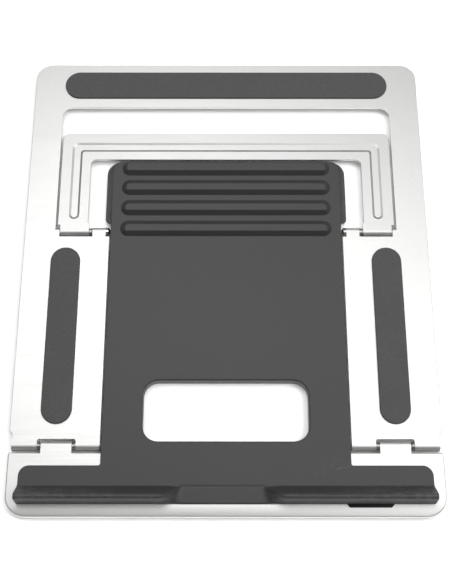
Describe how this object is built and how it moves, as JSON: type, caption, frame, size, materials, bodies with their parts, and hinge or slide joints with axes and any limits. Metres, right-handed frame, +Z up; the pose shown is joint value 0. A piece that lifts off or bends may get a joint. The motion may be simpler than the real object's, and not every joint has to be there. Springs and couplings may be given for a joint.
{
  "type": "laptop stand",
  "caption": "Folding metal laptop stand: a ribbed base plate with a front lip, a hinged frame with rubber grip pads, and a swing-down U prop that sets the tilt.",
  "frame": {"origin": "centre of the footprint on the desk, stand folded flat", "axes": "+Y from the lip to the rear edge that lifts, +Z up, +X along both hinge lines"},
  "size_m": [0.25, 0.2946, 0.0181],
  "materials": {
    "plate_paint": "fine-textured powder coat, satin",
    "silver_frame": "bead-blasted, satin silver",
    "silver_bail": "bead-blasted, satin silver",
    "grip_rubber": "matte moulded rubber",
    "foot_rubber": "matte moulded rubber",
    "tab_rubber": "matte black",
    "steel_pin": "turned steel",
    "zinc_washer": "dull zinc plated"
  },
  "bodies": {
    "base": {"base_plate": "plate_paint", "front_strip": "silver_frame", "base_rivets": "steel_pin", "front_left_foot": "foot_rubber", "front_right_foot": "foot_rubber", "rear_left_foot": "foot_rubber", "rear_right_foot": "foot_rubber", "lip_tab": "tab_rubber"},
    "platform": {"platform_frame": "silver_frame", "top_grip_pad": "grip_rubber", "left_grip_pad": "grip_rubber", "right_grip_pad": "grip_rubber", "left_front_hinge_pin": "steel_pin", "right_front_hinge_pin": "steel_pin", "left_front_hinge_washers": "zinc_washer", "right_front_hinge_washers": "zinc_washer", "left_bail_pin": "steel_pin", "right_bail_pin": "steel_pin", "left_bail_washer": "zinc_washer", "right_bail_washer": "zinc_washer", "left_rear_bumper": "foot_rubber", "right_rear_bumper": "foot_rubber"},
    "bail": {"support_bail": "silver_bail"}
  },
  "joints": [
    {"name": "platform_tilt", "type": "hinge", "parent": "base", "child": "platform", "pos_m": [0, -0.10685, 0.00355], "axis": [1, 0, 0], "range_deg": [0, 32.3]},
    {"name": "bail_swing", "type": "hinge", "parent": "platform", "child": "bail", "pos_m": [0, 0.02765, 0.00355], "axis": [-1, 0, 0], "range_deg": [0, 111.5]}
  ]
}
